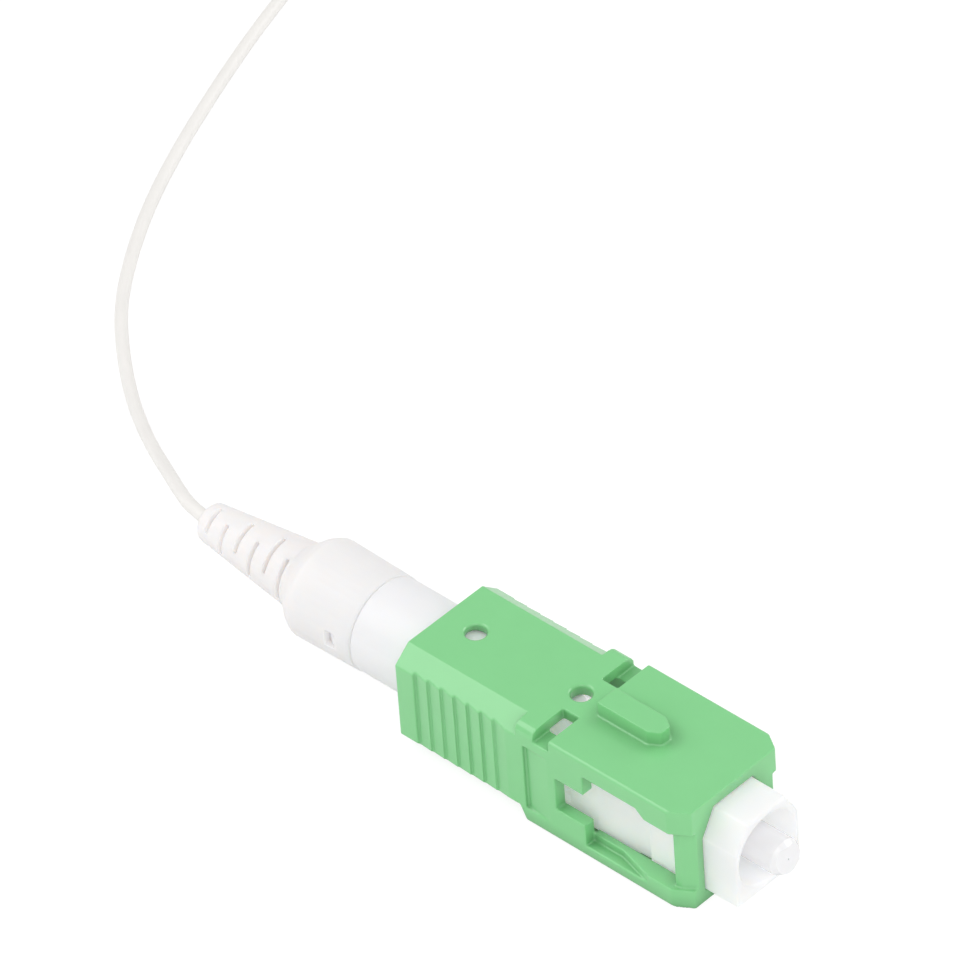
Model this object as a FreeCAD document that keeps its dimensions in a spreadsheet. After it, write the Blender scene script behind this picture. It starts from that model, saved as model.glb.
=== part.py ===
"""SC fibre connector on a buffered pigtail, as a parametric document.

Lengths are millimetres. In the row frame +X points out of the ferrule, +Z points to the
key on top and the origin lies on the surface that the connector rests on, under the middle
of its length. Every piece but the lead is drawn about the connector's own datum: the optical
axis is X and the front face of the outer housing is x = 0. One Placement carries it from
there to the row frame.
"""
import FreeCAD, Part
import Sketcher
import math
import os
import re

SIZES = [
    # outer housing: the push-pull grip
    ("housing_width", 9.2),
    ("housing_height", 7.8),
    ("housing_length", 23.8),
    ("edge_break", 0.14),
    ("front_corner_length", 1.27),
    ("front_corner_width", 0.8),
    ("grip_start", 13.76),
    ("grip_chamfer_width", 1.28),
    ("grip_chamfer_height", 1.08),
    ("collar_round", 0.7),
    ("skirt_slant", 0.56),
    ("rib_land", 1.5),
    ("rib_pitch", 1.1),
    ("rib_depth", 0.2),
    ("rib_tip", 0.04),
    ("step_start", 13.2),
    ("step_end", 11.16),
    ("step_depth", 0.26),
    ("step_top", 2.3),
    ("step_bottom", 2.8),
    ("cross_slot_start", 12.3),
    ("cross_slot_end", 11.0),
    ("cross_slot_inner", 1.75),
    ("cross_slot_depth", 0.85),
    ("hole_radius", 0.69),
    ("hole_round", 0.22),
    ("hole_front", 12.4),
    ("hole_rear_inset", 2.6),
    ("key_width", 1.7),
    ("key_height", 1.05),
    ("key_start", 10.26),
    ("key_straight_end", 6.14),
    ("key_end", 5.4),
    ("key_nose_width", 0.8),
    ("key_round", 0.3),
    # side windows of the housing
    ("window_rear", 10.6),
    ("window_step", 8.25),
    ("window_lip", 1.1),
    ("window_rib", 1.42),
    ("window_top", 2.6),
    ("window_ramp_start", 3.9),
    ("window_ramp_end", 3.25),
    ("window_front_top", 2.05),
    ("window_front_step", 3.15),
    ("window_front_bottom", 2.5),
    ("post_length", 1.3),
    ("post_set_back", 0.42),
    ("post_front_width", 0.6),
    ("side_wall", 0.85),
    ("passage_corner", 0.75),
    ("passage_lower_corner", 0.4),
    ("opener_ridge", 3.85),
    ("opener_bend", 5.8),
    ("opener_end", 3.05),
    # plug frame
    ("frame_width", 5.6),
    ("frame_height", 6.0),
    ("frame_reach", 2.65),
    ("frame_length", 17.65),
    ("frame_corner_width", 1.08),
    ("frame_corner_height", 1.9),
    ("frame_front_chamfer", 0.12),
    ("frame_shoulder", 1.5),
    ("frame_rear_width", 6.6),
    ("frame_rear_corner", 0.25),
    ("frame_clearance", 0.06),
    ("front_bore_wall", 0.25),
    ("front_bore_depth", 5.25),
    ("bore_mouth", 0.1),
    ("partition", 1.0),
    ("latch_ridge", 4.05),
    ("latch_ramp_end", 8.3),
    ("latch_depth", 0.4),
    ("side_relief_front", 10.65),
    ("side_relief_length", 2.2),
    ("side_relief_depth", 0.6),
    ("side_relief_height", 3.6),
    ("chamber_radius", 2.2),
    ("catch_length", 1.2),
    ("catch_width", 2.0),
    ("catch_height", 0.32),
    ("catch_rear", 9.6),
    ("slide_travel", 2.0),
    ("stop_gap", 0.1),
    # ferrule, flange and fibre
    ("ferrule_radius", 1.25),
    ("ferrule_length", 10.5),
    ("ferrule_reach", 4.4),
    ("ferrule_tip_radius", 0.95),
    ("ferrule_tip_chamfer", 0.5),
    ("ferrule_angle", 8.0),
    ("ferrule_hole_gap", 0.1),
    ("fibre_radius", 0.0625),
    ("flange_radius", 2.05),
    ("flange_thickness", 1.5),
    ("flange_seat_gap", 0.05),
    ("flange_slot_width", 0.6),
    ("flange_slot_depth", 0.45),
    ("hub_radius", 1.6),
    ("hub_wall", 0.3),
    ("tail_radius", 1.05),
    ("tail_gap", 0.3),
    ("plunge_travel", 1.0),
    # spring
    ("spring_wire", 0.4),
    ("spring_mean_radius", 1.9),
    ("spring_gap", 0.05),
    ("spring_turns", 6.0),
    # rear body and crimp
    ("spigot_clearance", 0.05),
    ("spigot_length", 3.2),
    ("spigot_bore_radius", 1.4),
    ("spigot_bore_depth", 5.0),
    ("tab_length", 1.0),
    ("tab_width", 1.6),
    ("tab_set_back", 0.7),
    ("tab_gap", 0.1),
    ("cylinder_radius", 3.28),
    ("cylinder_clearance", 0.08),
    ("cylinder_shown", 5.3),
    ("sleeve_seat_radius", 2.8),
    ("sleeve_seat_length", 4.9),
    ("nipple_radius", 1.05),
    ("nipple_length", 1.6),
    ("crimp_wall", 0.4),
    ("crimp_gap", 0.05),
    ("guide_tube_radius", 0.8),
    ("guide_tube_front_gap", 0.35),
    # boot
    ("boot_mouth_radius", 3.34),
    ("boot_collar_radius", 3.45),
    ("boot_collar_length", 5.8),
    ("boot_corner", 0.5),
    ("boot_shoulder_length", 1.1),
    ("boot_neck_radius", 2.3),
    ("boot_neck_length", 8.5),
    ("boot_end_radius", 1.35),
    ("boot_end_round", 0.3),
    ("boot_fit", 0.05),
    ("boot_window_back", 1.35),
    ("boot_window_length", 0.8),
    ("boot_catch_gap", 0.25),
    ("boot_window_height", 1.2),
    ("boot_slot_width", 0.32),
    ("boot_slot_pitch", 2.8),
    ("boot_slot_start", 1.5),
    ("boot_slot_stagger", 1.4),
    ("boot_slot_span", 0.6),
    ("boot_slot_floor", 0.9),
    # buffered lead
    ("lead_radius", 0.45),
    ("lead_bore_gap", 0.05),
    ("coil_outer_radius", 10.3),
    ("coil_inner_radius", 5.0),
    ("coil_height", 3.6),
    ("coil_round", 0.9),
]

RIB_COUNT = 7
SLOTS_A_ROW = 3
FLANGE_SLOTS = 4
# Turn about the axis of each row of boot slots, in degrees from the +Y side.
SLOT_ROW_ANGLES = (155, 123)
# Names that expressions use for functions, not for sizes.
FUNCTIONS = ("sin", "cos", "tan", "sqrt", "deg", "min")

# Route of the lead on its way from the boot to the coil, in the row frame. The first point
# lies on the boot's end face and the last one inside the coil.
LEAD_ROUTE = [
    (-24.45, 0.0, 3.9),
    (-26.15, 0.2, 3.85),
    (-28.35, 1.25, 3.4),
    (-30.95, 2.75, 2.55),
    (-34.0, 4.5, 1.52),
    (-37.1, 6.4, 0.75),
    (-40.15, 8.45, 0.45),
    (-43.45, 11.1, 0.45),
    (-46.7, 14.2, 0.45),
    (-49.55, 18.0, 0.45),
    (-52.35, 22.5, 0.45),
    (-54.9, 27.7, 0.45),
    (-57.3, 33.5, 0.45),
    (-59.55, 39.5, 0.45),
    (-61.45, 45.5, 0.45),
    (-62.95, 50.8, 0.45),
    (-64.1, 55.4, 0.45),
]
COIL_CENTRE = (-73.66, 53.01)

# Distances behind the housing's front face, all as expressions of the sizes.
FRAME_REAR = "(frame_length - frame_reach)"
PARTITION_FRONT = "(front_bore_depth - frame_reach)"
CHAMBER_FRONT = "(front_bore_depth - frame_reach + partition)"
FLANGE_FRONT = "(front_bore_depth - frame_reach + partition + flange_seat_gap)"
FLANGE_REAR = "(" + FLANGE_FRONT + " + flange_thickness)"
FERRULE_REAR = "(ferrule_length - ferrule_reach)"
FACE_LEAN = "(ferrule_tip_radius * tan(ferrule_angle * 1 deg))"
FIBRE_TIP = "(ferrule_reach - " + FACE_LEAN + " - fibre_radius)"
HUB_REAR = "(" + FERRULE_REAR + " + hub_wall)"
SPIGOT_FRONT = "(" + FRAME_REAR + " - spigot_length)"
TAIL_REAR = "(" + SPIGOT_FRONT + " - tail_gap)"
CYLINDER_REAR = "(housing_length + cylinder_shown)"
SEAT_REAR = "(" + CYLINDER_REAR + " + sleeve_seat_length)"
NIPPLE_REAR = "(" + SEAT_REAR + " + nipple_length)"
COLLAR_REAR = "(" + CYLINDER_REAR + " + boot_collar_length)"
NECK_FRONT = "(" + COLLAR_REAR + " + boot_shoulder_length)"
BOOT_REAR = "(" + NECK_FRONT + " + boot_neck_length)"
TAB_WINDOW_FRONT = "(" + SPIGOT_FRONT + " + tab_set_back)"
HALF_WIDTH = "(housing_width / 2)"
HALF_HEIGHT = "(housing_height / 2)"
FRAME_HALF_WIDTH = "(frame_width / 2)"
FRAME_HALF_HEIGHT = "(frame_height / 2)"
REAR_HALF_WIDTH = "(frame_rear_width / 2)"
FRONT_BORE_RADIUS = "(min(" + FRAME_HALF_WIDTH + "; " + FRAME_HALF_HEIGHT + ") - front_bore_wall)"
# Material beyond an outline, for cuts that have to run clear of the piece.
CLEAR = "5"

doc = FreeCAD.newDocument("sc_fibre_connector")
sheet = doc.addObject("Spreadsheet::Sheet", "sizes")
for row, (name, value) in enumerate(SIZES, start=1):
    cell = "A%d" % row
    sheet.set(cell, str(value))
    sheet.setAlias(cell, name)
doc.recompute()


def bound(text):
    """An expression as other objects write it, with the sheet's name before each size."""
    def with_sheet(match):
        word = match.group()
        return word if word in FUNCTIONS else "sizes." + word
    return re.sub(r"[a-z][a-z_]+", with_sheet, text)


def number(text):
    """What an expression of the sizes comes to."""
    return float(sheet.evalExpression(text))


def minus(text):
    return "-(" + text + ")"


def new_body(name):
    """A body drawn about the connector's datum and placed in the row frame."""
    body = doc.addObject("PartDesign::Body", name)
    body.Label = name
    body.setExpression(".Placement.Base.x", bound("(" + BOOT_REAR + " - ferrule_reach) / 2"))
    body.setExpression(".Placement.Base.z", bound(HALF_HEIGHT))
    return body


def new_sketch(body, name, plane, offset="0"):
    """A sketch on one of the body's own origin planes, moved along that plane's normal."""
    sketch = body.newObject("Sketcher::SketchObject", name)
    origin = [item for item in body.Origin.OriginFeatures if item.Role == plane][0]
    sketch.AttachmentSupport = (origin, [""])
    sketch.MapMode = "FlatFace"
    sketch.setExpression(".AttachmentOffset.Base.z", bound(offset))
    return sketch


def outline(sketch, points):
    """A closed outline whose every corner is held by two dimensions from the origin."""
    places = [FreeCAD.Vector(number(u), number(v), 0) for u, v in points]
    count = len(points)
    first = sketch.GeometryCount
    for index in range(count):
        sketch.addGeometry(Part.LineSegment(places[index], places[(index + 1) % count]), False)
    for index in range(count):
        following = first + (index + 1) % count
        sketch.addConstraint(Sketcher.Constraint("Coincident", first + index, 2, following, 1))
    for index, (u, v) in enumerate(points):
        corner = first + index
        for kind, text, size in (("DistanceX", u, places[index].x), ("DistanceY", v, places[index].y)):
            held = sketch.addConstraint(Sketcher.Constraint(kind, -1, 1, corner, 1, size))
            sketch.setExpression("Constraints[%d]" % held, bound(text))


def ring(sketch, radius, u="0", v="0"):
    """A circle held by its radius and its centre."""
    centre = FreeCAD.Vector(number(u), number(v), 0)
    circle = sketch.addGeometry(Part.Circle(centre, FreeCAD.Vector(0, 0, 1), number(radius)), False)
    held = sketch.addConstraint(Sketcher.Constraint("Radius", circle, number(radius)))
    sketch.setExpression("Constraints[%d]" % held, bound(radius))
    for kind, text, size in (("DistanceX", u, centre.x), ("DistanceY", v, centre.y)):
        held = sketch.addConstraint(Sketcher.Constraint(kind, -1, 1, circle, 3, size))
        sketch.setExpression("Constraints[%d]" % held, bound(text))


def box_points(u_low, u_high, v_low, v_high):
    return [(u_low, v_low), (u_high, v_low), (u_high, v_high), (u_low, v_high)]


def cut_corner_points(half_width, half_height, across, up):
    """An upright rectangle about the axis with its four corners cut off."""
    u, v = half_width, half_height
    inner_u, inner_v = u + " - " + across, v + " - " + up
    return [
        (u, inner_v), (inner_u, v), (minus(inner_u), v), (minus(u), inner_v),
        (minus(u), minus(inner_v)), (minus(inner_u), minus(v)), (inner_u, minus(v)), (u, minus(inner_v)),
    ]


def frame_points(gap):
    """The plug frame's section, wider by a gap all round: its top corners are cut off."""
    u = FRAME_HALF_WIDTH + " + " + gap
    v = FRAME_HALF_HEIGHT + " + " + gap
    inner_u, inner_v = u + " - frame_corner_width", v + " - frame_corner_height"
    half = [(u, minus(v)), (u, inner_v), (inner_u, v)]
    return half + [(minus(u), v) for u, v in reversed(half)]


def block_points(gap):
    """The wider section of the plug frame behind its nose, wider still by a gap all round."""
    u = REAR_HALF_WIDTH + " + " + gap
    v = FRAME_HALF_HEIGHT + " + " + gap
    inner_u = FRAME_HALF_WIDTH + " - frame_corner_width + " + gap
    half = [
        (u + " - frame_rear_corner", minus(v)), (u, "frame_rear_corner - (" + v + ")"),
        (u, v + " - frame_corner_height"), (inner_u, v),
    ]
    return half + [(minus(u), v) for u, v in reversed(half)]


def mirrored(points):
    """The same outline on the other side of the u axis."""
    return [(u, minus(v)) for u, v in reversed(points)]


def extrude(body, kind, sketch, length, backwards=False, symmetric=False):
    feature = body.newObject("PartDesign::" + kind, sketch.Name + "_" + kind.lower())
    feature.Profile = sketch
    feature.setExpression(".Length", bound(length))
    feature.Reversed = backwards
    if symmetric:
        feature.SideType = "Symmetric"
    sketch.Visibility = False
    return feature


def pad(body, sketch, length, backwards=False, symmetric=False):
    return extrude(body, "Pad", sketch, length, backwards, symmetric)


def pocket(body, sketch, length, forwards=False, symmetric=False):
    """A pocket runs against the sketch's normal, or along it when forwards is set."""
    return extrude(body, "Pocket", sketch, length, forwards, symmetric)


def turned(body, kind, name, points):
    """A revolution about the optical axis of an outline of (x, radius) corners."""
    sketch = new_sketch(body, name, "XZ_Plane")
    outline(sketch, points)
    feature = body.newObject("PartDesign::" + kind, name + "_" + kind.lower())
    feature.Profile = sketch
    feature.ReferenceAxis = (sketch, ["H_Axis"])
    feature.Angle = 360
    return feature


def round_bore(body, name, radius, start, depth):
    """A round pocket on the axis, from start (behind the front face) backwards."""
    sketch = new_sketch(body, name, "YZ_Plane", minus(start))
    ring(sketch, radius)
    return pocket(body, sketch, depth)


def finish_edges(body, name, kind, size, test):
    """Chamfers or fillets the edges of the body's tip whose end points pass a test."""
    doc.recompute()
    base = body.Tip
    names = []
    for index, edge in enumerate(base.Shape.Edges, start=1):
        if test([vertex.Point for vertex in edge.Vertexes]):
            names.append("Edge%d" % index)
    feature = body.newObject("PartDesign::" + kind, name)
    feature.Base = (base, names)
    feature.setExpression(".Size" if kind == "Chamfer" else ".Radius", bound(size))
    return feature


def housing_outside(body):
    section = new_sketch(body, "housing_section", "YZ_Plane")
    outline(section, cut_corner_points(HALF_WIDTH, HALF_HEIGHT, "edge_break", "edge_break"))
    pad(body, section, "housing_length", backwards=True)

    # The four long chamfers of the grip end at the full collar.
    grip = new_sketch(body, "grip_chamfers", "YZ_Plane", minus("grip_start"))
    wide, high = HALF_WIDTH + " + " + CLEAR, HALF_HEIGHT + " + " + CLEAR
    outline(grip, box_points(minus(wide), wide, minus(high), high))
    outline(grip, cut_corner_points(HALF_WIDTH, HALF_HEIGHT, "grip_chamfer_width", "grip_chamfer_height"))
    pocket(body, grip, "housing_length")
    collar = new_sketch(body, "collar_corners", "YZ_Plane", minus("cross_slot_start"))
    outline(collar, box_points(minus(wide), wide, minus(high), high))
    rounded = [
        (HALF_WIDTH + " - collar_round * (1 - cos(%g deg))" % turn,
         HALF_HEIGHT + " - collar_round * (1 - sin(%g deg))" % turn)
        for turn in (0, 22.5, 45, 67.5, 90)
    ]
    outline(collar, rounded + [(minus(u), v) for u, v in reversed(rounded)] + [
        (minus(HALF_WIDTH), minus(HALF_HEIGHT)), (HALF_WIDTH, minus(HALF_HEIGHT))])
    pocket(body, collar, "grip_start - cross_slot_start")

    # The skirt below the collar starts with a slant where it meets the lower chamfers.
    shoulder = HALF_WIDTH + " - grip_chamfer_width"
    for side, offset, forwards in (("near", shoulder, True), ("far", minus(shoulder), False)):
        slant = new_sketch(body, side + "_skirt_slant", "XZ_Plane", offset)
        outline(slant, [
            (minus("grip_start + edge_break"), minus(HALF_HEIGHT + " - grip_chamfer_height")),
            (minus("grip_start"), minus(HALF_HEIGHT + " - grip_chamfer_height")),
            (minus("grip_start - skirt_slant"), minus(HALF_HEIGHT)),
            (minus("grip_start - skirt_slant"), minus(high)),
            (minus("grip_start + edge_break"), minus(high)),
        ])
        pocket(body, slant, "grip_chamfer_width + " + CLEAR, forwards=forwards)

    corners = new_sketch(body, "front_corners", "XY_Plane")
    corner = [
        (minus("front_corner_length"), HALF_WIDTH),
        ("0", HALF_WIDTH + " - front_corner_width"),
        (CLEAR, HALF_WIDTH + " - front_corner_width"),
        (CLEAR, wide),
        (minus("front_corner_length"), wide),
    ]
    outline(corners, corner)
    outline(corners, mirrored(corner))
    pocket(body, corners, "2 * housing_height", symmetric=True)

    key = new_sketch(body, "key_outline", "XY_Plane", HALF_HEIGHT)
    half, nose = "key_width / 2", "key_nose_width / 2"
    outline(key, [
        (minus("key_start"), minus(half)), (minus("key_straight_end"), minus(half)),
        (minus("key_end"), minus(nose)), (minus("key_end"), nose),
        (minus("key_straight_end"), half), (minus("key_start"), half),
    ])
    pad(body, key, "key_height")
    foot, front = number(HALF_HEIGHT), -number("key_straight_end")
    finish_edges(body, "key_nose_rounds", "Fillet", "key_round", lambda points: (
        abs(points[0].z - points[-1].z) > 1e-6
        and all(point.z > foot - 1e-6 and point.x > front - 1e-6 for point in points)))


def housing_grip_ribs(body):
    """Saw teeth on both sides, each rising forwards to a step that faces the front."""
    ribs = new_sketch(body, "grip_ribs", "XY_Plane")
    wide = HALF_WIDTH + " + " + CLEAR
    first = "(housing_length - rib_land)"
    teeth = [(minus(first), wide), (minus(first), HALF_WIDTH + " - rib_depth")]
    for index in range(1, RIB_COUNT):
        place = minus(first + " - %d * rib_pitch" % index)
        teeth.append((place, HALF_WIDTH + " - rib_tip"))
        teeth.append((place, HALF_WIDTH + " - rib_depth"))
    last = minus(first + " - %d * rib_pitch" % RIB_COUNT)
    teeth += [(last, HALF_WIDTH), (last, wide)]
    outline(ribs, teeth)
    outline(ribs, mirrored(teeth))
    pocket(body, ribs, "2 * housing_height", symmetric=True)

    step = new_sketch(body, "side_step", "XY_Plane", "step_top")
    tooth = [
        (minus("step_start"), wide), (minus("step_start"), HALF_WIDTH + " - step_depth"),
        (minus("step_end"), HALF_WIDTH), (minus("step_end"), wide),
    ]
    outline(step, tooth)
    outline(step, mirrored(tooth))
    pocket(body, step, "step_top + step_bottom")


def housing_slots_and_holes(body):
    """Slots across the top that a duplex clip grips, and two holes with rounded rims."""
    inner, outer = "cross_slot_inner", HALF_WIDTH + " + " + CLEAR
    slot = box_points(minus("cross_slot_start"), minus("cross_slot_end"), inner, outer)
    slots = new_sketch(body, "cross_slots", "XY_Plane", HALF_HEIGHT)
    outline(slots, slot)
    outline(slots, mirrored(slot))
    pocket(body, slots, "cross_slot_depth")

    holes = new_sketch(body, "top_holes", "XY_Plane", HALF_HEIGHT)
    centres = (minus("hole_front"), "hole_rear_inset - housing_length")
    for centre in centres:
        ring(holes, "hole_radius", centre)
    pocket(body, holes, HALF_HEIGHT)
    radius, top, places = number("hole_radius"), number(HALF_HEIGHT), [number(place) for place in centres]
    finish_edges(body, "hole_rounds", "Fillet", "hole_round", lambda points: all(
        abs(point.z - top) < 1e-6
        and min(abs(math.hypot(point.x - place, point.y) - radius) for place in places) < 1e-6
        for point in points))


def housing_inside(body):
    passage = new_sketch(body, "frame_passage", "YZ_Plane")
    outline(passage, frame_points("frame_clearance"))
    pocket(body, passage, "housing_length")
    room = new_sketch(body, "block_room", "YZ_Plane", "frame_clearance - frame_shoulder")
    outline(room, block_points("frame_clearance"))
    pocket(body, room, "window_step + frame_clearance - frame_shoulder")
    # Behind the step in the windows the side walls are thin and leave a gap beside the frame.
    roomy = new_sketch(body, "rear_passage", "YZ_Plane", minus("window_step"))
    u, v = "(" + HALF_WIDTH + " - side_wall)", "(" + FRAME_HALF_HEIGHT + " + frame_clearance)"
    half = [
        (u + " - passage_lower_corner", minus(v)), (u, "passage_lower_corner - " + v),
        (u, v + " - passage_corner"), (u + " - passage_corner", v),
    ]
    outline(roomy, half + [(minus(u), v) for u, v in reversed(half)])
    pocket(body, roomy, FRAME_REAR + " + slide_travel + stop_gap - window_step")
    rear_start = "(" + FRAME_REAR + " - stop_gap)"
    round_bore(body, "rear_bore", "cylinder_radius + cylinder_clearance", rear_start, "housing_length")

    # Grooves in which the frame's catches run, as long as the travel allows.
    grooves = new_sketch(body, "catch_grooves", "XY_Plane")
    half = "catch_width / 2 + stop_gap"
    outline(grooves, box_points(
        minus("catch_rear + slide_travel + stop_gap"), minus("catch_rear - catch_length - stop_gap"),
        minus(half), half))
    pocket(body, grooves, "frame_height + 2 * frame_clearance + 2 * catch_height + stop_gap", symmetric=True)


def housing_windows(body):
    """The two side windows through which an adapter's hooks reach the frame's latch."""
    windows = new_sketch(body, "side_windows", "XZ_Plane")
    floor = "(" + FRAME_HALF_HEIGHT + " + frame_clearance)"
    outline(windows, [
        (minus("window_rear"), minus("window_rib")),
        (minus("window_step"), minus("window_rib")),
        (minus("window_step"), minus(floor)),
        (minus("window_front_step"), minus(floor)),
        (minus("window_front_step"), minus("window_front_bottom")),
        (minus("post_length"), minus("window_front_bottom")),
        (minus("post_length"), "window_front_top"),
        (minus("window_ramp_end"), "window_front_top"),
        (minus("window_ramp_start"), "window_top"),
        (minus("window_step"), "window_top"),
        (minus("window_step"), "window_lip"),
        (minus("window_rear"), "window_lip"),
    ])
    pocket(body, windows, "2 * housing_width", symmetric=True)

    # Hook openers: inside each window a low ridge slants outwards to the sill in front of it.
    openers = new_sketch(body, "hook_openers", "XY_Plane", minus("window_front_bottom"))
    inner = REAR_HALF_WIDTH + " + frame_clearance"
    opener = [
        (minus("window_step"), inner), (minus("window_step"), "opener_ridge"),
        (minus("opener_bend"), "opener_ridge"), (minus("opener_end"), HALF_WIDTH),
        (minus("opener_end"), inner),
    ]
    outline(openers, opener)
    outline(openers, mirrored(opener))
    pad(body, openers, floor + " + edge_break - window_front_bottom", backwards=True)

    # The post in front of each window stands back from the top and bottom walls.
    posts = new_sketch(body, "post_recesses", "XY_Plane", "window_front_top")
    front = FRAME_HALF_WIDTH + " + frame_clearance + post_front_width"
    recess = [
        (minus("post_length + post_set_back"), HALF_WIDTH + " - post_set_back"),
        ("-0.6 * post_length", HALF_WIDTH + " - post_set_back - edge_break"),
        ("0", front), (CLEAR, front),
        (CLEAR, HALF_WIDTH + " + " + CLEAR),
        (minus("post_length + post_set_back"), HALF_WIDTH + " + " + CLEAR),
    ]
    outline(posts, recess)
    outline(posts, mirrored(recess))
    pocket(body, posts, "window_front_top + window_front_bottom")


def make_outer_housing():
    body = new_body("outer_housing")
    housing_outside(body)
    housing_grip_ribs(body)
    housing_slots_and_holes(body)
    housing_inside(body)
    housing_windows(body)
    return body


def make_plug_frame():
    body = new_body("plug_frame")
    section = new_sketch(body, "frame_section", "YZ_Plane", "frame_reach")
    outline(section, frame_points("0"))
    pad(body, section, "frame_reach + frame_shoulder", backwards=True)
    reach = number("frame_reach")
    finish_edges(body, "frame_front_edges", "Chamfer", "frame_front_chamfer", lambda points: all(
        abs(point.x - reach) < 1e-6 for point in points))

    block = new_sketch(body, "frame_block_section", "YZ_Plane", minus("frame_shoulder"))
    outline(block, block_points("0"))
    pad(body, block, FRAME_REAR + " - frame_shoulder", backwards=True)

    round_bore(body, "front_bore", FRONT_BORE_RADIUS, minus("frame_reach"), "front_bore_depth")
    rim = number(FRONT_BORE_RADIUS)
    finish_edges(body, "bore_mouth_edge", "Chamfer", "bore_mouth", lambda points: all(
        abs(point.x - reach) < 1e-6 and abs(math.hypot(point.y, point.z) - rim) < 1e-6
        for point in points))
    round_bore(body, "ferrule_hole", "ferrule_radius + ferrule_hole_gap", PARTITION_FRONT, "partition")
    round_bore(body, "spring_chamber", "chamber_radius", CHAMBER_FRONT, "frame_length")

    # The latch that an adapter's hooks fall behind: a ridge and a ramp on each side.
    latch = new_sketch(body, "latch_recesses", "XY_Plane")
    beyond = REAR_HALF_WIDTH + " + " + CLEAR
    recess = [
        (minus("latch_ridge"), beyond), (minus("latch_ridge"), REAR_HALF_WIDTH + " - latch_depth"),
        (minus("latch_ramp_end"), REAR_HALF_WIDTH), (minus("latch_ramp_end"), beyond),
    ]
    outline(latch, recess)
    outline(latch, mirrored(recess))
    pocket(body, latch, "2 * frame_height", symmetric=True)

    # Shallow reliefs in the sides behind the latch.
    relief = new_sketch(body, "side_reliefs", "XY_Plane")
    patch = box_points(
        minus("side_relief_front + side_relief_length"), minus("side_relief_front"),
        REAR_HALF_WIDTH + " - side_relief_depth", beyond)
    outline(relief, patch)
    outline(relief, mirrored(patch))
    pocket(body, relief, "side_relief_height", symmetric=True)

    # Windows in the top and bottom walls for the rear body's tabs.
    tabs = new_sketch(body, "tab_windows", "XY_Plane")
    half = "tab_width / 2 + tab_gap"
    outline(tabs, box_points(
        minus(TAB_WINDOW_FRONT + " + tab_length + tab_gap"), minus(TAB_WINDOW_FRONT + " - tab_gap"),
        minus(half), half))
    pocket(body, tabs, "2 * frame_height", symmetric=True)

    # Catches on the top and bottom that keep the outer housing on the frame.
    catches = new_sketch(body, "catches", "XZ_Plane")
    top = FRAME_HALF_HEIGHT + " + catch_height"
    catch = [
        (minus("catch_rear"), FRAME_HALF_HEIGHT + " - edge_break"),
        (minus("catch_rear - catch_length"), FRAME_HALF_HEIGHT + " - edge_break"),
        (minus("catch_rear - catch_length"), top),
        (minus("catch_rear - catch_length / 2"), top),
        (minus("catch_rear"), FRAME_HALF_HEIGHT + " + catch_height / 3"),
    ]
    outline(catches, catch)
    outline(catches, mirrored(catch))
    pad(body, catches, "catch_width", symmetric=True)
    return body


def make_ferrule():
    body = new_body("ferrule")
    tip_start = "(ferrule_reach - ferrule_tip_chamfer)"
    turned(body, "Revolution", "ferrule_half_section", [
        (minus(FERRULE_REAR), "fibre_radius"),
        ("ferrule_reach", "fibre_radius"),
        ("ferrule_reach", "ferrule_tip_radius"),
        (tip_start, "ferrule_radius"),
        (minus(FERRULE_REAR), "ferrule_radius"),
    ])
    # The end face of an angled-contact ferrule leans back from its lower edge.
    face = new_sketch(body, "angled_face", "XZ_Plane")
    outline(face, [
        ("ferrule_reach", minus("ferrule_tip_radius")),
        ("ferrule_reach + ferrule_tip_chamfer", minus("ferrule_tip_radius")),
        ("ferrule_reach + ferrule_tip_chamfer", "ferrule_radius"),
        ("ferrule_reach - 2 * " + FACE_LEAN, "ferrule_tip_radius"),
    ])
    pocket(body, face, "4 * ferrule_radius", symmetric=True)
    return body


def make_ferrule_flange():
    body = new_body("ferrule_flange")
    bore = "lead_radius + lead_bore_gap"
    turned(body, "Revolution", "flange_half_section", [
        (minus(FLANGE_FRONT), "ferrule_radius"),
        (minus(FLANGE_FRONT), "flange_radius"),
        (minus(FLANGE_REAR), "flange_radius"),
        (minus(FLANGE_REAR), "hub_radius"),
        (minus(HUB_REAR), "hub_radius"),
        (minus(HUB_REAR), "tail_radius"),
        (minus(TAIL_REAR), "tail_radius"),
        (minus(TAIL_REAR), bore),
        (minus(FERRULE_REAR), bore),
        (minus(FERRULE_REAR), "ferrule_radius"),
    ])
    slot = new_sketch(body, "tuning_slot", "YZ_Plane", minus(FLANGE_FRONT))
    half = "flange_slot_width / 2"
    outline(slot, box_points(minus(half), half, "flange_radius - flange_slot_depth", "flange_radius + 1"))
    cut = pocket(body, slot, "flange_thickness")
    pattern = body.newObject("PartDesign::PolarPattern", "tuning_slots")
    pattern.Originals = [cut]
    pattern.Axis = ([item for item in body.Origin.OriginFeatures if item.Role == "X_Axis"][0], [""])
    pattern.Angle = 360
    pattern.Occurrences = FLANGE_SLOTS
    body.Tip = pattern
    return body


def make_bare_fibre():
    body = new_body("bare_fibre")
    sketch = new_sketch(body, "fibre_section", "YZ_Plane", FIBRE_TIP)
    ring(sketch, "fibre_radius")
    pad(body, sketch, FIBRE_TIP + " + " + HUB_REAR, backwards=True)
    return body


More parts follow.
